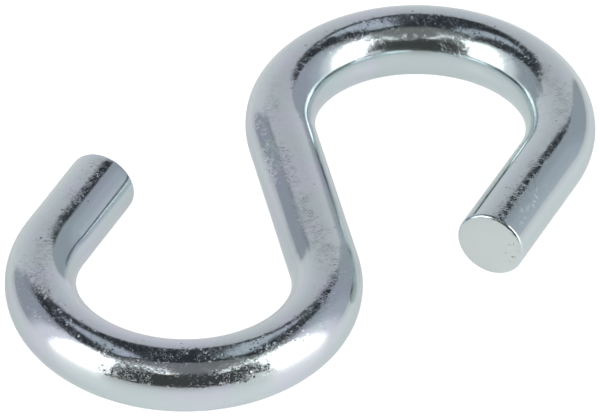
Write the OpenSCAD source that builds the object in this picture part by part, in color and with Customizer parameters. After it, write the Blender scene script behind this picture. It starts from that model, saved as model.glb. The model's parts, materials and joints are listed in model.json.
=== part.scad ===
// S hook bent from one length of round wire, zinc plated.
//
// The hook lies flat: the lowest line of the wire is on z = 0, and +Z points up.
// The load line runs along Y through the centres of both bends, upper bend towards +Y.
// The origin is under the point where the shank crosses the load line.
// Seen from above, the wire draws the letter S.

/* [Wire] */
// Diameter of the round wire, plating included
wire_d = 8; // [3:0.5:14]
// Radius of the rolled edge round each cut end
end_edge_r = 0.4; // [0.1:0.05:1.2]

/* [Shank] */
// Straight length between the two bends
shank_length = 22.8; // [10:0.2:80]

/* [Upper hook] */
// Inside diameter of the upper bend
upper_inside_d = 24; // [18:1:60]
// Angle that the wire turns through in the upper bend
upper_sweep = 217; // [120:1:230]
// Straight length of the upper tail, up to its cut end
upper_tail = 16.2; // [3:0.2:24]

/* [Lower hook] */
// Inside diameter of the lower bend
lower_inside_d = 24; // [18:1:60]
// Angle that the wire turns through in the lower bend
lower_sweep = 217; // [120:1:230]
// Straight length of the lower tail, up to its cut end
lower_tail = 12.2; // [3:0.2:24]

/* [Hidden] */
$fn = 96;

// Colour of bright zinc plate
ZINC = [0.74, 0.76, 0.79];

wire_r = wire_d / 2;

// Radius of each bend along the middle of the wire
upper_bend_r = upper_inside_d / 2 + wire_r;
lower_bend_r = lower_inside_d / 2 + wire_r;

// The shank runs tangent to both bends and crosses the load line between them.
// The crossing point divides the shank as the bend radii.
bend_r_sum = upper_bend_r + lower_bend_r;
upper_shank = shank_length * upper_bend_r / bend_r_sum;
lower_shank = shank_length * lower_bend_r / bend_r_sum;

// Angle from the load line to the shank
shank_lean = atan(bend_r_sum / shank_length);

// Each end of the shank runs on into its bend by this length
SEAT_DEPTH = 0.1;
// The shank is slimmer by this much all round, so that its ends seat inside the bends
SEAT_RELIEF = 0.005;

// Half of a straight tail's outline, from its axis out: the far end has the rolled edge
module tail_outline(length) {
    square([wire_r, length - end_edge_r]);
    square([wire_r - end_edge_r, length]);
    translate([wire_r - end_edge_r, length - end_edge_r]) circle(r = end_edge_r);
}

// Straight tail that starts at the origin and runs towards -Y
module tail(length) {
    rotate([90, 0, 0]) rotate_extrude() tail_outline(length);
}

// Bend about the origin, with its tail. The shank arrives from -Y at x = -bend_r, and the wire
// goes round by way of +Y through the sweep. The tail leaves along the tangent.
module bend_and_tail(bend_r, sweep, tail_length) {
    rotate([0, 0, 180 - sweep]) {
        rotate_extrude(angle = sweep) translate([bend_r, 0]) circle(r = wire_r);
        translate([bend_r, 0, 0]) tail(tail_length);
    }
}

// Straight shank along Y that crosses the load line at the origin
module shank() {
    translate([0, -lower_shank - SEAT_DEPTH, 0])
        rotate([-90, 0, 0]) cylinder(h = shank_length + 2 * SEAT_DEPTH, r = wire_r - SEAT_RELIEF);
}

module hook() {
    color(ZINC) translate([0, 0, wire_r]) rotate([0, 0, shank_lean]) {
        shank();
        translate([upper_bend_r, upper_shank, 0])
            bend_and_tail(upper_bend_r, upper_sweep, upper_tail);
        translate([-lower_bend_r, -lower_shank, 0]) rotate([0, 0, 180])
            bend_and_tail(lower_bend_r, lower_sweep, lower_tail);
    }
}

hook();
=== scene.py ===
"""Looks of the S hook: bright zinc-plated wire on a pale studio table.

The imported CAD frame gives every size. The wire is swept again here along the same path, fine enough
to carry the waves, scuffs and nicks that the plated wire shows, and it replaces the CAD node.

A place on the wire is a distance along its middle line, from the lower tip, and an angle round it:
0 is the left side on the way from the lower tip, 90 degrees the top, and 180 degrees the right side.
"""

import json
import math

import bpy
from mathutils import Matrix, Vector, noise


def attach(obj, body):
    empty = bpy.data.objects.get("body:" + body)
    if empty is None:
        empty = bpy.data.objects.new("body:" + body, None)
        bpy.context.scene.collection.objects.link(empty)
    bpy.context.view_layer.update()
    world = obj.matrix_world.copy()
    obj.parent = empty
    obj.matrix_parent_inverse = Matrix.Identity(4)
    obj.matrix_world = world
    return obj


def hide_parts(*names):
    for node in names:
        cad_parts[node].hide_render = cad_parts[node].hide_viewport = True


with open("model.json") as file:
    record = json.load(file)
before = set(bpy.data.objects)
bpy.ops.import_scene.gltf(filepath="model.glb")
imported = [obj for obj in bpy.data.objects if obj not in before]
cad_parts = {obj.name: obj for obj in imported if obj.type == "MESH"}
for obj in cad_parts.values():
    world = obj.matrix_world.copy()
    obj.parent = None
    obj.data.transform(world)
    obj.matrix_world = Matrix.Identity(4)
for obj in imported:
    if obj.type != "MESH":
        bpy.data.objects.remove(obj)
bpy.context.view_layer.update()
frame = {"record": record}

MM = 0.001
UP = Vector((0.0, 0.0, 1.0))

# Camera: where it looks, measured from +Y towards +X, how far it looks down, and its roll (degrees)
CAMERA_AZIMUTH = -42.10
CAMERA_ELEVATION = 38.97
CAMERA_ROLL = 1.16
# Its distance from the hook's middle (m), and its focal length (mm)
CAMERA_DISTANCE = 1.0
CAMERA_LENS = 531.5
# How far the view's centre lies to the left of the hook's middle, and below it
CAMERA_LEFT = 0.394 * MM
CAMERA_BELOW = 0.575 * MM
# Nearest and farthest that it sees (m)
CAMERA_NEAREST = 0.1
CAMERA_FARTHEST = 20.0

# Fineness of the swept wire: points round it, and the distance between its rings
AROUND = 112
STEP = 0.222 * MM
# Rings of a cut end: on its flat face, and steps round its rolled edge
FACE_RINGS = 16
EDGE_STEPS = 6


# ---------------------------------------------------------------- the wire's path

def mount(name):
    """The record's mount with this name."""
    return next(m for m in frame["record"]["mounts"] if m["name"] == name)


WIRE_R = mount("upper_tip")["dims"]["r_mm"] * MM
UPPER_CENTRE = Vector(mount("upper_seat")["pos_m"])
LOWER_CENTRE = Vector(mount("lower_seat")["pos_m"])
BEND_R = mount("upper_seat")["dims"]["r_mm"] * MM + WIRE_R
# Radius of the rolled edge round each cut end. The record's pins stop where it starts.
EDGE_R = 0.4 * MM


def tail(name):
    """Start, heading and length of a straight tail, up to its cut end."""
    pin = mount(name)
    heading = Vector(pin["axis"]).normalized()
    straight = pin["dims"]["length_mm"] * MM
    start = Vector(pin["pos_m"]) - heading * straight / 2
    return start, heading, straight + EDGE_R


def shank_half():
    """From the load line's middle to the point where the shank meets the upper bend."""
    half_gap = (UPPER_CENTRE - LOWER_CENTRE).length / 2
    half_length = math.sqrt(half_gap ** 2 - BEND_R ** 2)
    lean = math.atan2(BEND_R, half_length)
    heading = Vector((-math.sin(lean), math.cos(lean), 0.0))
    return heading * half_length


class Line:
    """A straight stretch of the wire's middle line."""

    def __init__(self, start, end):
        self.start = start
        self.heading = (end - start).normalized()
        self.length = (end - start).length

    def at(self, distance):
        """Point and heading at this distance from the stretch's start."""
        return self.start + self.heading * distance, self.heading


class Bend:
    """A circular stretch of the wire's middle line, which turns one way (1 left, -1 right)."""

    def __init__(self, centre, start, end, turn):
        self.centre = centre
        self.turn = turn
        self.from_angle = math.atan2(start.y - centre.y, start.x - centre.x)
        to_angle = math.atan2(end.y - centre.y, end.x - centre.x)
        self.sweep = (turn * (to_angle - self.from_angle)) % math.tau
        self.length = self.sweep * BEND_R

    def at(self, distance):
        """Point and heading at this distance from the stretch's start."""
        angle = self.from_angle + self.turn * distance / BEND_R
        out = Vector((math.cos(angle), math.sin(angle), 0.0))
        heading = UP.cross(out) * self.turn
        return self.centre + out * BEND_R, heading


def wire_path():
    """The middle line from the lower tip to the upper tip, as stretches that run tangent."""
    middle = (UPPER_CENTRE + LOWER_CENTRE) / 2
    upper_start, upper_heading, upper_length = tail("upper_tip")
    lower_start, lower_heading, lower_length = tail("lower_tip")
    lower_tip = lower_start + lower_heading * lower_length
    upper_tip = upper_start + upper_heading * upper_length
    shank_top = middle + shank_half()
    shank_foot = middle - shank_half()
    return [
        Line(lower_tip, lower_start),
        Bend(LOWER_CENTRE, lower_start, shank_foot, 1),
        Line(shank_foot, shank_top),
        Bend(UPPER_CENTRE, shank_top, upper_start, -1),
        Line(upper_start, upper_tip),
    ]


PATH = wire_path()
WIRE_LENGTH = sum(stretch.length for stretch in PATH)


def on_path(distance):
    """Point and heading at a distance along the middle line."""
    for stretch in PATH[:-1]:
        if distance <= stretch.length:
            return stretch.at(distance)
        distance -= stretch.length
    return PATH[-1].at(distance)


def joints():
    """Distances at which one stretch of the wire gives way to the next."""
    ends = []
    for stretch in PATH[:-1]:
        ends.append(stretch.length + (ends[-1] if ends else 0.0))
    return ends


JOINTS = joints()


# ---------------------------------------------------------------- what making and handling left
#
# Distances, lengths and depths are in millimetres in this section's tables, and angles in degrees.

# Strip that each stretch has rubbed on other hooks, from the lower tail to the upper one:
# angle round the wire to its middle, half width, and how hard it was rubbed
RUBS = (
    (89, 20, 1.0),
    (104, 34, 0.9),
    (78, 23, 0.7),
    (106, 34, 0.8),
    (84, 20, 0.9),
)
# One strip passes into the next from this far before a joint to this far after it
RUB_PASSING = 6
# The strip fades between these multiples of its half width
RUB_FULL = 0.6
RUB_GONE = 1.4
# How grained the rubbed strip is on a straight stretch, and how much more in the middle of a bend
GRAINED = 0.22
GRAINED_MORE_ON_BEND = 0.17
# The wear of a bend falls off towards its ends as a sine with this power
BEND_POWER = 0.8

# Where the plate is most broken: distance, how far that reaches, and how much
CRUMBLES = (
    (39.0, 3.2, 0.9),
    (46.5, 5.0, 0.3),
    (50.5, 3.5, 0.8),
    (116.5, 3.0, 0.5),
    (129.0, 3.0, 0.45),
)
# Share of that reach over which it is broken all through
CRUMBLED_CORE = 0.5
# It breaks in two bands, this far above and below the wire's right side. Away from a band's
# middle it is broken all through up to the first angle, and whole from the second.
CRUMBLED_OFF_RIGHT = 34
CRUMBLED_FULL = 12
CRUMBLED_GONE = 24

# Where the plate is wrinkled, most of all where the bending tool held the top of the shank:
# distance, angle, reach along the wire and round it, and how much
WRINKLES = (
    (5.0, 100, 5.5, 16, 0.55),
    (8.0, 78, 9.0, 10, 0.35),
    (21.0, 95, 6.0, 26, 0.38),
    (64.0, 106, 3.5, 14, 0.6),
    (71.0, 88, 4.5, 22, 0.5),
    (78.0, 72, 3.2, 12, 0.9),
    (86.5, 69, 3.6, 11, 0.9),
    (91.0, 40, 6.5, 14, 1.0),
    (100.0, 66, 5.0, 22, 0.45),
    (149.0, 88, 5.0, 20, 0.5),
    (166.0, 80, 7.0, 14, 0.8),
    (167.0, 54, 4.5, 14, 0.55),
)

# Where the shank's right side is dull: distance, angle, reach along the wire and round it
DULL_SPOT = (76.5, 131, 7.0, 14)
# How dull the inside of a bend is, where the plate was squeezed: 1 is as dull as that spot
SQUEEZED = 0.5
# How squarely the surface faces the bend's centre, from 0 to 1, where that starts and is complete
SQUEEZED_FROM = 0.3
SQUEEZED_FULL = 0.8

# Shallow dents: distance, angle, length, width, depth
DENTS = (
    (42.5, 133, 2.4, 1.0, 0.030),
    (46.5, 112, 1.8, 0.7, 0.020),
    (60.0, 100, 2.4, 0.9, 0.020),
    (63.5, 116, 2.6, 0.8, 0.030),
    (29.0, 108, 2.2, 0.8, 0.022),
    (75.0, 38, 9.0, 1.2, 0.014),
    (93.0, 44, 10.0, 2.0, 0.045),
    (89.0, 50, 3.2, 0.8, 0.016),
    (94.5, 52, 2.6, 0.7, 0.018),
    (98.0, 44, 2.2, 0.9, 0.016),
    (117.0, 129, 3.2, 1.0, 0.030),
    (122.6, 136, 2.6, 1.4, 0.070),
    (126.0, 130, 2.4, 1.0, 0.030),
    (131.5, 122, 3.0, 0.9, 0.025),
    (112.0, 108, 3.4, 1.2, 0.022),
    (160.5, 66, 2.6, 0.8, 0.030),
    (164.2, 68, 1.8, 0.8, 0.030),
    (166.6, 58, 1.5, 0.9, 0.026),
)

# Small brown stain, of two drops that overlap: distance, angle, radius
STAINS = ((43.5, 141, 0.40), (42.9, 143, 0.25))

# Nicks in a cut end's face: place across it to the left and up, half length, half width
NICKS = (
    (3.0, -0.60, 0.40, 0.11),
    (3.45, 0.45, 0.22, 0.09),
    (2.4, 0.9, 0.20, 0.09),
    (3.0, 1.2, 0.16, 0.09),
    (2.1, -0.3, 0.18, 0.09),
    (2.7, -1.4, 0.20, 0.09),
)
NICK_DEPTH = 0.06

# The lower tip is rolled over a little more than its edge: depth and length
ROLLED_DEPTH = 0.05
ROLLED_LENGTH = 1.3

# Waves of the drawn wire, and the finer peel of its skin, which is rougher where it rubbed:
# length along the wire, width round it, height
WAVE = (7, 6, 0.012)
PEEL = (1.4, 1.0, 0.0012)
RUBBED_PEEL = 0.0050

# The shears left each cut face a little domed: how far its edge stands back
DOMED = 0.05
# It is also uneven, and torn on its left side: width and height of the bumps across the face, and
# how far they stand out
UNEVEN = (1.6, 1.6, 0.010)
TORN = (0.7, 0.35, 0.070)
# Shares of the wire's radius, to the left, at which the torn side starts and is torn all through
TORN_FROM = 0.1
TORN_FULL = 0.9
# Share of the radius at which the cut face starts to give way to the wire's side
FACE_END = 0.89


def smoothstep(value, low, high):
    """0 at low, 1 at high, and a smooth rise between them."""
    share = min(max((value - low) / (high - low), 0.0), 1.0)
    return share * share * (3 - 2 * share)


def rub(distance):
    """Angle, half width and strength of the rubbed strip at this distance."""
    strip = list(RUBS[0])
    for k, joint in enumerate(JOINTS):
        share = smoothstep(distance, joint - RUB_PASSING * MM, joint + RUB_PASSING * MM)
        for i in range(3):
            strip[i] += (RUBS[k + 1][i] - RUBS[k][i]) * share
    return strip


def bend_share(distance):
    """1 in the middle of a bend, falling to 0 at its ends and on the straight stretches."""
    for start, end in ((JOINTS[0], JOINTS[1]), (JOINTS[2], JOINTS[3])):
        if start < distance < end:
            return math.sin(math.pi * (distance - start) / (end - start)) ** BEND_POWER
    return 0.0


def worn(strip, angle):
    """How roughened the plate is on the rubbed strip, and on its like underneath."""
    middle, half_width, strength = strip
    off = abs((math.degrees(angle) - middle + 90) % 180 - 90)
    return strength * (1 - smoothstep(off, half_width * RUB_FULL, half_width * RUB_GONE))


def crumbled(distance, angle):
    """How broken the plate is at the worst places of each bend."""
    off = abs(abs(math.degrees(angle) - 180) - CRUMBLED_OFF_RIGHT)
    around = 1 - smoothstep(off, CRUMBLED_FULL, CRUMBLED_GONE)
    along = 0.0
    for at, reach, strength in CRUMBLES:
        off = abs(distance / MM - at)
        along = max(along, strength * (1 - smoothstep(off, reach * CRUMBLED_CORE, reach)))
    return around * along


def patch(distance, angle, at, round_at, reach, around):
    """1 in a patch with soft edges about one place, 0 outside it."""
    along = (distance / MM - at) / reach
    across = (math.degrees(angle) - round_at) / around
    return math.exp(-along ** 4 - across ** 4)


def wrinkled(distance, angle):
    """How wrinkled the plate is."""
    return max(strength * patch(distance, angle, *place) for *place, strength in WRINKLES)


def dulled(distance, angle, on_bend):
    """How dull the plate is, on the inside of the bends and at the shank's dull spot."""
    inward = math.cos(angle) if distance < WIRE_LENGTH / 2 else -math.cos(angle)
    squeezed = SQUEEZED * on_bend * smoothstep(inward, SQUEEZED_FROM, SQUEEZED_FULL)
    return max(squeezed, patch(distance, angle, *DULL_SPOT))


def stained(distance, angle):
    """1 in the middle of a stain, 0 outside the stains."""
    share = 0.0
    for at, round_at, radius in STAINS:
        along = distance / MM - at
        across = math.radians(math.degrees(angle) - round_at) * WIRE_R / MM
        share = max(share, 1 - math.hypot(along, across) / radius)
    return share


def nick(x, y):
    """1 in the middle of a small nick in a cut end's face, 0 outside the nicks."""
    deepest = 0.0
    for at_x, at_y, long, wide in NICKS:
        off = ((x / MM - at_x) / long) ** 2 + ((y / MM - at_y) / wide) ** 2
        deepest = max(deepest, math.exp(-off))
    return deepest


# ---------------------------------------------------------------- the surface's relief

def dents(distance, angle):
    """Depth of the dents here, in metres."""
    depth = 0.0
    for at, round_at, length, width, deepest in DENTS:
        along = (distance - at * MM) / (length / 2 * MM)
        if abs(along) < 1:
            turned = (math.degrees(angle) - round_at + 180) % 360 - 180
            across = math.radians(turned) * WIRE_R / (width / 2 * MM)
            reach = along * along + across * across
            if reach < 1:
                depth += deepest * MM * (1 - reach) ** 2
    return depth


def side_bumps(distance, angle, length, width, shift=0.0):
    """Smooth bumps on the wire's side, from -1 to 1. Each shift has its own."""
    side = Vector((math.cos(angle), math.sin(angle), 0.0)) * WIRE_R / MM
    return noise.noise(Vector((distance / MM / length, side.x / width, side.y / width + shift)))


def relief(distance, angle, wear):
    """How far the surface stands proud of the true round wire, in metres."""
    wave_length, wave_width, wave_height = WAVE
    peel_length, peel_width, peel_height = PEEL
    wave = side_bumps(distance, angle, wave_length, wave_width)
    peel = side_bumps(distance, angle, peel_length, peel_width, shift=40)
    proud = wave_height * wave + (peel_height + RUBBED_PEEL * wear) * peel
    proud -= ROLLED_DEPTH * max(1 - distance / MM / ROLLED_LENGTH, 0.0) ** 2
    return proud * MM - dents(distance, angle)


def face_bumps(x, y, bumps, layer):
    """Smooth bumps on a cut end's face, in millimetres. Each layer has its own."""
    width, height, depth = bumps
    return depth * noise.noise(Vector((x / (width * MM), y / (height * MM), layer)))


def face_relief(x, y):
    """How far a cut end's face stands back, at a place across it, in metres."""
    dome = (math.hypot(x, y) / WIRE_R) ** 4
    uneven = face_bumps(x, y, UNEVEN, layer=3.0)
    torn = smoothstep(x / WIRE_R, TORN_FROM, TORN_FULL) * face_bumps(x, y, TORN, layer=9.0)
    return (DOMED * dome + uneven + torn + NICK_DEPTH * nick(x, y)) * MM


# ---------------------------------------------------------------- the mesh

def end_profile():
    """Rings of a cut end, from its middle out: radius and set-back from the flat face."""
    flat = WIRE_R - EDGE_R
    rings = [(flat * k / FACE_RINGS, 0.0) for k in range(1, FACE_RINGS + 1)]
    for k in range(1, EDGE_STEPS):
        turn = math.radians(90 * k / EDGE_STEPS)
        rings.append((flat + EDGE_R * math.sin(turn), EDGE_R * (1 - math.cos(turn))))
    return rings


def wire_rings():
    """Every ring of the wire in order: distance along the path, and radius."""
    ends = end_profile()
    span = WIRE_LENGTH - 2 * EDGE_R
    count = round(span / STEP)
    rings = [(setback, radius) for radius, setback in ends]
    rings += [(EDGE_R + span * k / count, WIRE_R) for k in range(count + 1)]
    rings += [(WIRE_LENGTH - setback, radius) for radius, setback in reversed(ends)]
    return rings


class Skin:
    """Points and faces of the wire's surface, and what the plate's material reads at each point."""

    def __init__(self):
        self.points = []
        self.faces = []
        # Coordinates on the wire as if it were straight: along it, to its left, and up
        self.straight = []
        marks = ("grained", "crumbled", "veined", "dulled", "cut", "nicked", "stained")
        self.marks = {name: [] for name in marks}

    def mark(self, **values):
        """Set each mark at the point added last. A mark that isn't named is 0."""
        for name, marks in self.marks.items():
            marks.append(values.get(name, 0.0))

    def add_ring(self, distance, radius):
        """One ring of points round the wire."""
        centre, heading = on_path(distance)
        left = UP.cross(heading)
        inward = heading if distance < WIRE_LENGTH / 2 else -heading
        on_face = 1 - smoothstep(radius / WIRE_R, FACE_END, 1.0)
        on_bend = bend_share(distance)
        strip = rub(distance)
        for k in range(AROUND):
            angle = math.tau * k / AROUND
            across, rise = math.cos(angle), math.sin(angle)
            wear = worn(strip, angle) * (1 - on_face)
            r = radius + relief(distance, angle, wear) * radius / WIRE_R
            set_back = on_face * face_relief(across * radius, rise * radius)
            self.points.append(centre + left * across * r + UP * rise * r + inward * set_back)
            self.straight.append((distance, across * radius, rise * radius))
            self.mark(
                grained=wear * (GRAINED + GRAINED_MORE_ON_BEND * on_bend),
                crumbled=crumbled(distance, angle),
                veined=wrinkled(distance, angle),
                dulled=dulled(distance, angle, on_bend),
                cut=on_face,
                nicked=on_face * nick(across * radius, rise * radius),
                stained=stained(distance, angle),
            )

    def join_rings(self):
        """Faces between each ring and the next."""
        for first in range(0, len(self.points) - AROUND, AROUND):
            for k in range(AROUND):
                a = first + k
                b = first + (k + 1) % AROUND
                self.faces.append((a, b, b + AROUND, a + AROUND))

    def close_end(self, first, distance):
        """Fan of faces in the middle of a cut end, whose innermost ring starts at this point."""
        hub = len(self.points)
        lower = first == 0
        centre, heading = on_path(distance)
        inward = heading if lower else -heading
        self.points.append(centre + inward * face_relief(0.0, 0.0))
        self.straight.append((distance, 0.0, 0.0))
        self.mark(cut=1.0)
        for k in range(AROUND):
            a = first + k
            b = first + (k + 1) % AROUND
            self.faces.append((a, hub, b) if lower else (b, hub, a))

    def mesh(self, name):
        """A smooth Blender mesh, with the coordinates and the marks as its attributes."""
        mesh = bpy.data.meshes.new(name)
        mesh.from_pydata(self.points, [], self.faces)
        straight = mesh.attributes.new("straight", "FLOAT_VECTOR", "POINT")
        straight.data.foreach_set("vector", [value for point in self.straight for value in point])
        for mark, values in self.marks.items():
            mesh.attributes.new(mark, "FLOAT", "POINT").data.foreach_set("value", values)
        mesh.polygons.foreach_set("use_smooth", [True] * len(mesh.polygons))
        mesh.update()
        return mesh


def wire_mesh():
    """The whole wire as one closed mesh."""
    skin = Skin()
    for distance, radius in wire_rings():
        skin.add_ring(distance, radius)
    last_ring = len(skin.points) - AROUND
    skin.join_rings()
    skin.close_end(0, 0.0)
    skin.close_end(last_ring, WIRE_LENGTH)
    return skin.mesh("hook_wire")


# ---------------------------------------------------------------- node helpers

class Nodes:
    """Adds nodes to one tree, with inputs given as values or as sockets."""

    def __init__(self, tree):
        self.tree = tree
        tree.nodes.clear()

    def node(self, kind, inputs=None, **settings):
        """The new node itself."""
        node = self.tree.nodes.new(kind)
        for name, value in settings.items():
            setattr(node, name, value)
        for key, value in (inputs or {}).items():
            if isinstance(value, bpy.types.NodeSocket):
                self.tree.links.new(value, node.inputs[key])
            else:
                node.inputs[key].default_value = value
        return node

    def add(self, kind, inputs=None, output=0, **settings):
        """One output of the new node, its first unless another is named."""
        return self.node(kind, inputs, **settings).outputs[output]

    def maths(self, operation, a, b=0.0):
        return self.add("ShaderNodeMath", {0: a, 1: b}, operation=operation)

    def times(self, a, b):
        return self.maths("MULTIPLY", a, b)

    def plus(self, a, b):
        return self.maths("ADD", a, b)

    def minus(self, a, b):
        return self.maths("SUBTRACT", a, b)

    def vector(self, operation, a, b, output=0, extra=None):
        inputs = {0: a, 1: b} if extra is None else {0: a, 1: b, 2: extra}
        return self.add("ShaderNodeVectorMath", inputs, output=output, operation=operation)

    def dot(self, a, b):
        return self.vector("DOT_PRODUCT", a, b, output=1)

    def mix(self, factor, a, b):
        return self.add("ShaderNodeMix", {0: factor, 6: a, 7: b}, output=2, data_type="RGBA")

    def ranged(self, value, low, high, to_low=0.0, to_high=1.0, kind="SMOOTHSTEP"):
        """The value carried from one range to another, and held at its ends."""
        inputs = {0: value, 1: low, 2: high, 3: to_low, 4: to_high}
        return self.add("ShaderNodeMapRange", inputs, interpolation_type=kind)


def grey(level, tint=(1.0, 1.0, 1.0)):
    """A colour of this level, from 0 to 1 or brighter for a lamp."""
    return (level * tint[0], level * tint[1], level * tint[2], 1.0)


WHITE = grey(1.0)


# ---------------------------------------------------------------- zinc plate

# Blue passivation shifts a little between these two over the wire
LILAC = (0.745, 0.788, 0.852, 1.0)
GREENISH = (0.712, 0.800, 0.808, 1.0)
# The cut ends were plated thinner, over the sheared steel
CUT = (0.735, 0.800, 0.790, 1.0)
# Painted shade at the bottom of a pit or of a nick in a cut end, and the brown stain at full strength
PIT_SHADE = (0.28, 0.31, 0.32, 1.0)
STAIN = (0.50, 0.30, 0.14, 1.0)
# How much of the mirror stays at the wire's outline, where a plain model of metal goes white
OUTLINE_SHINE = grey(0.92)

# Roughness of the clean plate, which is cloudy between these two
SMOOTHEST = 0.08
ROUGHEST = 0.13
# How much rougher the plate is where it is grained, dulled, or over a cut end
GRAINED_ROUGHER = 0.05
DULLED_ROUGHER = 0.10
CUT_ROUGHER = 0.08

# Shares of the wire's length between which the green comes up, and how much there is before and after
GREEN_FROM = 0.55
GREEN_FULL = 0.92
GREEN_BEFORE = 0.02
GREEN_AFTER = 0.25
# How much of the painted pit shade the pits and nicks show, and how much of its own colour the stain
# shows
PIT_SHADE_SHARE = 0.7
STAIN_COLOUR = 0.45

# Outlines of the grains: size of the noise that pushes them about, and its reach, both as shares
# of a grain, and how far neighbours melt together
RAGGED_SIZE = 0.625
RAGGED_REACH = 1.2
MELTED = 0.12
HALF = (0.5, 0.5, 0.5)


class Zinc(Nodes):
    """Nodes of the zinc plate, which all read the wire's straightened coordinates."""

    def __init__(self, tree):
        super().__init__(tree)
        self.straight = self.add("ShaderNodeAttribute", attribute_name="straight", output=1)

    def mark(self, name):
        """One of the marks that the mesh carries."""
        return self.add("ShaderNodeAttribute", attribute_name=name, output=2)

    def noise(self, size, detail=2.0, where=None, output=0):
        """Noise whose blotches are about this large: its level, or its colour as output 1."""
        inputs = {"Vector": where or self.straight, "Scale": 1 / size, "Detail": detail}
        return self.add("ShaderNodeTexNoise", inputs, output=output)

    def blotched(self, mark, size, detail, low, high, least):
        """A mark broken up by noise: whole where that is high, and its least share where it is low."""
        return self.times(self.mark(mark), self.ranged(self.noise(size, detail), low, high, least))

    def facets(self, size, slope, rarity):
        """Height of small flat grains, each tilted its own way. The rarer, the fewer stand askew."""
        push = self.noise(size * RAGGED_SIZE, output=1)
        push = self.vector("SUBTRACT", push, HALF)
        reach = (size * RAGGED_REACH,) * 3
        pushed = self.vector("MULTIPLY_ADD", push, reach, extra=self.straight)
        inputs = {"Vector": pushed, "Scale": 1 / size, "Smoothness": MELTED}
        grain = self.node("ShaderNodeTexVoronoi", inputs, feature="SMOOTH_F1").outputs
        tilt = self.vector("SUBTRACT", grain["Color"], HALF)
        place = self.vector("SUBTRACT", self.straight, grain["Position"])
        height = self.times(self.dot(tilt, place), 2 * slope)
        askew = self.add("ShaderNodeVectorMath", {0: tilt}, output=1, operation="LENGTH")
        return self.times(height, self.times(self.maths("POWER", askew, rarity), 2.0))

    def pits(self, spacing, size, share):
        """Mask of small round pits, of which only this share of the cells has one."""
        inputs = {"Vector": self.straight, "Scale": 1 / spacing}
        cell = self.node("ShaderNodeTexVoronoi", inputs, feature="F1").outputs
        deep = self.ranged(cell["Distance"], size / spacing / 2, 0.0)
        number = self.dot(cell["Color"], (1.0, 0.0, 0.0))
        return self.times(deep, self.maths("LESS_THAN", number, share))

    def veins(self, size, width, depth, shift):
        """Height of thin wormy grooves, set apart from others of their kind by the shift."""
        where = self.vector("ADD", self.straight, (shift, 0.0, 0.0))
        middle = self.maths("ABSOLUTE", self.minus(self.noise(size, 1.0, where=where), 0.5))
        return self.ranged(middle, 0.0, width, -depth, 0.0)


def zinc_height(n, grained, crumbled, veined, pitted):
    """Height of the plate's fine surface, in metres."""
    parts = [
        # Unevenness everywhere, and more on the rubbed strip
        n.times(n.noise(1.1 * MM), n.plus(0.003 * MM, n.times(grained, 0.008 * MM))),
        # Grains of the rubbed strip
        n.times(n.facets(0.22 * MM, slope=1.0, rarity=6.0), grained),
        # Coarser grains and lumps of the crumbled plate
        n.times(n.facets(0.27 * MM, slope=0.45, rarity=4.0), crumbled),
        n.times(n.noise(0.42 * MM), n.times(crumbled, 0.009 * MM)),
        # Wide and narrow wrinkles, and the swellings between them
        n.times(n.veins(0.60 * MM, width=0.05, depth=0.020 * MM, shift=0.0), veined),
        n.times(n.veins(0.40 * MM, width=0.05, depth=0.012 * MM, shift=0.07), veined),
        n.times(n.noise(0.5 * MM), n.times(veined, 0.006 * MM)),
        # Pits
        n.times(pitted, -0.06 * MM),
    ]
    height = parts[0]
    for part in parts[1:]:
        height = n.plus(height, part)
    return height


def zinc_pits(n):
    """Mask of the pits in patches on top of the wire, and of the nicks in its cut ends: it sinks them in
    the bump and darkens them with painted shade.
    """
    patches = n.ranged(n.noise(5.0 * MM), 0.42, 0.62, 0.1)
    height_up = n.dot(n.straight, (0.0, 0.0, 1 / WIRE_R))
    patches = n.times(patches, n.ranged(height_up, 0.6, 0.9))
    pits = n.times(n.pits(spacing=0.85 * MM, size=0.35 * MM, share=0.22), patches)
    return n.plus(pits, n.ranged(n.mark("nicked"), 0.3, 0.9))


def zinc_roughness(n, grained):
    """Roughness of the plate: cloudy, and higher where it is worn or was plated thin."""
    roughness = n.ranged(n.noise(3.0 * MM, 3.0), 0.3, 0.7, SMOOTHEST, ROUGHEST)
    roughness = n.plus(roughness, n.times(grained, GRAINED_ROUGHER))
    roughness = n.plus(roughness, n.times(n.mark("dulled"), DULLED_ROUGHER))
    return n.plus(roughness, n.times(n.mark("cut"), CUT_ROUGHER))


def zinc_colour(n, pitted):
    """Colour of the plate: its blue fades to green towards the upper tip, with painted shade in the pits
    and nicks, and the brown stain.
    """
    along = n.dot(n.straight, (1 / WIRE_LENGTH, 0.0, 0.0))
    fade = n.ranged(along, GREEN_FROM, GREEN_FULL, GREEN_BEFORE, GREEN_AFTER)
    green = n.plus(n.noise(6.0 * MM), fade)
    colour = n.mix(n.ranged(green, 0.38, 0.62), LILAC, GREENISH)
    colour = n.mix(n.mark("cut"), colour, CUT)
    # Painted shade: the pits and nicks are darkened in colour as well as dented in the bump
    colour = n.mix(n.times(pitted, PIT_SHADE_SHARE), colour, PIT_SHADE)
    return n.mix(n.ranged(n.mark("stained"), 0.0, 0.8, 0.0, STAIN_COLOUR), colour, STAIN)


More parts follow.
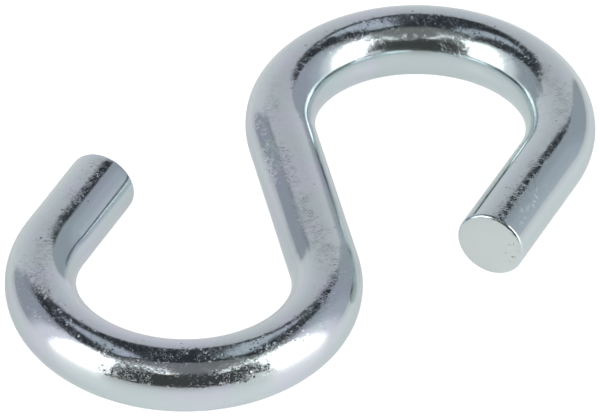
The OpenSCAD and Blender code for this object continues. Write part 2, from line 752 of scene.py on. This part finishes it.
def zinc_material():
    """Bright zinc plate: a cool mirror, with grained, crumbled, wrinkled and pitted patches, and painted
    shade in the pits and nicks.
    """
    material = bpy.data.materials.new("zinc_plate")
    material.use_nodes = True
    n = Zinc(material.node_tree)
    grained = n.blotched("grained", 2.0 * MM, detail=3.0, low=0.36, high=0.56, least=0.3)
    crumbled = n.blotched("crumbled", 1.6 * MM, detail=2.0, low=0.34, high=0.60, least=0.25)
    veined = n.blotched("veined", 0.9 * MM, detail=2.0, low=0.42, high=0.56, least=0.1)
    pitted = zinc_pits(n)
    height = zinc_height(n, grained, crumbled, veined, pitted)
    inputs = {
        "Base Color": zinc_colour(n, pitted),
        "Metallic": 1.0,
        "Roughness": zinc_roughness(n, grained),
        "Normal": n.add("ShaderNodeBump", {"Height": height, "Distance": 1.0, "Strength": 1.0}),
        "Specular Tint": OUTLINE_SHINE,
    }
    n.node("ShaderNodeOutputMaterial", {"Surface": n.add("ShaderNodeBsdfPrincipled", inputs)})
    return material


# ---------------------------------------------------------------- studio

# Tints of the studio's pale surfaces
COOL = (0.92, 0.98, 1.10)
BLUISH = (0.99, 0.99, 1.05)
DUSK = (0.88, 0.98, 1.14)

# Dark room behind the camera, and the dim ceiling, which takes over between these elevations
ROOM = grey(0.056)
CEILING = grey(0.19)
CEILING_FROM = 40.0
CEILING_FULL = 47.0
# The tent's back wall is lit from below: its colour low down and high up, and their elevations
BACK_LOW = grey(0.66, BLUISH)
BACK_HIGH = grey(0.53, BLUISH)
BACK_LOW_AT = 8.0
BACK_HIGH_AT = 38.0
SOFTBOX = grey(2.1)
# How far the open top's far edge, the right strip lamp and the two lamps above the camera run
# aslant, as rise over run
TOP_SLANT = 0.13
STRIP_SLANT = 0.17
LEFT_LAMP_SLANT = 0.6
RIGHT_LAMP_SLANT = 0.45

# Panels of the studio, each laid over the ones before it: colour (None is the back wall's), the
# two coordinates that bound it, each with its limits, and the width of its soft edge (degrees)
PANELS = (
    # Walls of the tent, from left to right, with a darker panel on the back one
    (grey(0.345, COOL), "azimuth", -92, -44.5, "elevation", -5, 52, 4),
    (grey(0.74, BLUISH), "azimuth", -96, -79, "elevation", -5, 53, 14),
    (None, "azimuth", -44.5, 27, "elevation", -5, 52, 4),
    (grey(0.28, COOL), "azimuth", -52, -39.5, "elevation", 24, 35, 5),
    (grey(0.373, COOL), "azimuth", 27, 57, "elevation", -5, 52, 4),
    (grey(0.45, COOL), "azimuth", 55, 76, "elevation", -5, 52, 10),
    (grey(0.74, BLUISH), "azimuth", 72, 90, "elevation", -5, 52, 14),
    # Open top, whose far edge runs aslant, with two strip lamps across it
    (grey(0.034, DUSK), "right", -40, 29, "aslant", -10, 44.5, 3),
    (grey(0.50, COOL), "right", -23.3, -13.7, "aslant", -5, 33, 3.5),
    (grey(0.55, COOL), "across strip", 10.7, 20.0, "aslant", -1, 37, 4),
    # Two narrow lamps above the camera, both aslant
    (grey(1.4), "across left lamp", -37, -31.5, "away", -48, -26, 3),
    (grey(1.3), "across right lamp", 40.3, 45, "away", -46, -22, 3),
    # Softboxes: the right one stands on a pale foot
    (SOFTBOX, "azimuth", -133.5, -96, "elevation", -8, 51, 11),
    (SOFTBOX, "azimuth", 87, 125.5, "elevation", -10, 52, 11),
    (grey(0.75), "azimuth", 124, 141, "elevation", -8, 13, 5),
)

# The table's colour, and how brightly it glows for the camera
TABLE = grey(0.8)
GLOW_SEEN = 0.85
# How brightly it glows for the metal, to the left and to the right of the hook, and how far from
# the hook's middle it does so (m)
GLOW_MIRRORED_LEFT = 0.36
GLOW_MIRRORED_RIGHT = 0.42
GLOW_REACH = 0.03
# Its polish, which only the metal sees, and mostly at a low angle
POLISH = grey(1.0, (1.0, 0.95, 0.89))
POLISH_ROUGHNESS = 0.2
POLISH_SHARE = 0.6
ACRYLIC_IOR = 1.45
# Half the table's width (m)
TABLE_HALF = 3.0


def level_right():
    """The picture's right, level with the table."""
    azimuth = math.radians(CAMERA_AZIMUTH)
    return Vector((math.cos(azimuth), -math.sin(azimuth), 0.0))


class Studio(Nodes):
    """Nodes of the studio's light, which depends on nothing but its direction."""

    def __init__(self, tree):
        super().__init__(tree)
        ray = self.add("ShaderNodeTexCoord", output=0)
        # Azimuth 0 is the way the camera looks
        turned = self.add(
            "ShaderNodeVectorRotate",
            {"Vector": ray, "Angle": math.radians(CAMERA_AZIMUTH)},
            rotation_type="Z_AXIS",
        )
        x, y, z = self.node("ShaderNodeSeparateXYZ", {0: turned}).outputs
        to_degrees = 180 / math.pi
        turn = self.maths("ARCTAN2", x, y)
        elevation = self.times(self.maths("ARCSINE", z), to_degrees)
        # Looking straight up: degrees from the zenith, to the right and away from the camera
        from_zenith = self.minus(90.0, elevation)
        right = self.times(from_zenith, self.maths("SINE", turn))
        away = self.times(from_zenith, self.maths("COSINE", turn))
        self.coordinates = {
            "azimuth": self.times(turn, to_degrees),
            "elevation": elevation,
            "right": right,
            "away": away,
            "aslant": self.minus(away, self.times(right, TOP_SLANT)),
            "across strip": self.plus(right, self.times(away, STRIP_SLANT)),
            "across left lamp": self.plus(right, self.times(away, LEFT_LAMP_SLANT)),
            "across right lamp": self.minus(right, self.times(away, RIGHT_LAMP_SLANT)),
        }

    def inside(self, name, low, high, soft):
        """1 between these limits of a coordinate and 0 outside them, with a soft edge."""
        off = self.maths("ABSOLUTE", self.minus(self.coordinates[name], (low + high) / 2))
        half = (high - low) / 2
        return self.ranged(off, half + soft / 2, half - soft / 2)

    def room(self):
        """Light of the room round the tent."""
        up = self.ranged(self.coordinates["elevation"], CEILING_FROM, CEILING_FULL)
        return self.mix(up, ROOM, CEILING)

    def back_wall(self):
        """Light of the tent's back wall."""
        up = self.ranged(self.coordinates["elevation"], BACK_LOW_AT, BACK_HIGH_AT, kind="LINEAR")
        return self.mix(up, BACK_LOW, BACK_HIGH)

    def with_panels(self, light):
        """The room's light with the panels laid over it."""
        back = self.back_wall()
        for colour, across, left, right, along, low, high, soft in PANELS:
            share = self.inside(across, left, right, soft)
            share = self.times(share, self.inside(along, low, high, soft))
            light = self.mix(share, light, back if colour is None else colour)
        return light


def studio_world():
    """A light tent: two softboxes, grey walls, and an open top and front that stay dark."""
    world = bpy.data.worlds.new("studio")
    bpy.context.scene.world = world
    world.use_nodes = True
    n = Studio(world.node_tree)
    light = n.with_panels(n.room())
    # Below the horizon the table goes on
    below = n.ranged(n.coordinates["elevation"], 1.0, -1.0, kind="LINEAR")
    light = n.mix(below, light, WHITE)
    # The camera sees a white background
    path = n.node("ShaderNodeLightPath").outputs
    light = n.mix(path["Is Camera Ray"], light, WHITE)
    n.node("ShaderNodeOutputWorld", {"Surface": n.add("ShaderNodeBackground", {"Color": light})})


def floor_material():
    """White acrylic, lit from below, which the camera and the metal see white."""
    material = bpy.data.materials.new("table")
    material.use_nodes = True
    n = Nodes(material.node_tree)
    path = n.node("ShaderNodeLightPath").outputs
    mirrored = n.maths("MAXIMUM", path["Is Glossy Ray"], path["Is Transmission Ray"])
    # The glow grows towards the picture's right
    along = n.dot(n.add("ShaderNodeNewGeometry"), level_right())
    growing = n.ranged(along, -GLOW_REACH, GLOW_REACH, GLOW_MIRRORED_LEFT, GLOW_MIRRORED_RIGHT, "LINEAR")
    seen = n.plus(n.times(path["Is Camera Ray"], GLOW_SEEN), n.times(mirrored, growing))
    matt = n.add("ShaderNodeBsdfDiffuse", {"Color": TABLE})
    glow = n.add("ShaderNodeEmission", {"Color": WHITE, "Strength": seen})
    lit = n.add("ShaderNodeAddShader", {0: matt, 1: glow})
    polish = n.add("ShaderNodeBsdfGlossy", {"Color": POLISH, "Roughness": POLISH_ROUGHNESS})
    low_angle = n.times(n.add("ShaderNodeFresnel", {"IOR": ACRYLIC_IOR}), path["Is Glossy Ray"])
    both = n.add("ShaderNodeMixShader", {0: n.times(low_angle, POLISH_SHARE), 1: lit, 2: polish})
    n.node("ShaderNodeOutputMaterial", {"Surface": both})
    return material


def add_floor():
    """The table, level with the lowest line of the wire."""
    half = TABLE_HALF
    corners = [(-half, -half, 0), (half, -half, 0), (half, half, 0), (-half, half, 0)]
    mesh = bpy.data.meshes.new("floor")
    mesh.from_pydata(corners, [], [(0, 1, 2, 3)])
    mesh.materials.append(floor_material())
    floor = bpy.data.objects.new("floor", mesh)
    bpy.context.scene.collection.objects.link(floor)


def add_camera():
    """The camera, at the photograph's viewing angle."""
    azimuth = math.radians(CAMERA_AZIMUTH)
    elevation = math.radians(CAMERA_ELEVATION)
    roll = math.radians(CAMERA_ROLL)
    ahead = Vector((
        math.sin(azimuth) * math.cos(elevation),
        math.cos(azimuth) * math.cos(elevation),
        -math.sin(elevation),
    ))
    level = level_right()
    upright = level.cross(ahead)
    right = math.cos(roll) * level + math.sin(roll) * upright
    up = -math.sin(roll) * level + math.cos(roll) * upright
    middle = Vector((0.0, 0.0, WIRE_R))
    data = bpy.data.cameras.new("camera")
    data.lens = CAMERA_LENS
    data.clip_start = CAMERA_NEAREST
    data.clip_end = CAMERA_FARTHEST
    camera = bpy.data.objects.new("camera", data)
    bpy.context.scene.collection.objects.link(camera)
    camera.rotation_mode = "QUATERNION"
    camera.location = middle - right * CAMERA_LEFT - up * CAMERA_BELOW - ahead * CAMERA_DISTANCE
    turned = Matrix((right, up, -ahead)).transposed()
    camera.rotation_quaternion = turned.to_quaternion()
    bpy.context.scene.camera = camera


# ---------------------------------------------------------------- the scene

bpy.context.scene.view_settings.view_transform = "Standard"
hook = bpy.data.objects.new("hook_wire", wire_mesh())
bpy.context.scene.collection.objects.link(hook)
hook.data.materials.append(zinc_material())
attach(hook, "root")
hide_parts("hook")
studio_world()
add_floor()
add_camera()

bpy.context.view_layer.update()
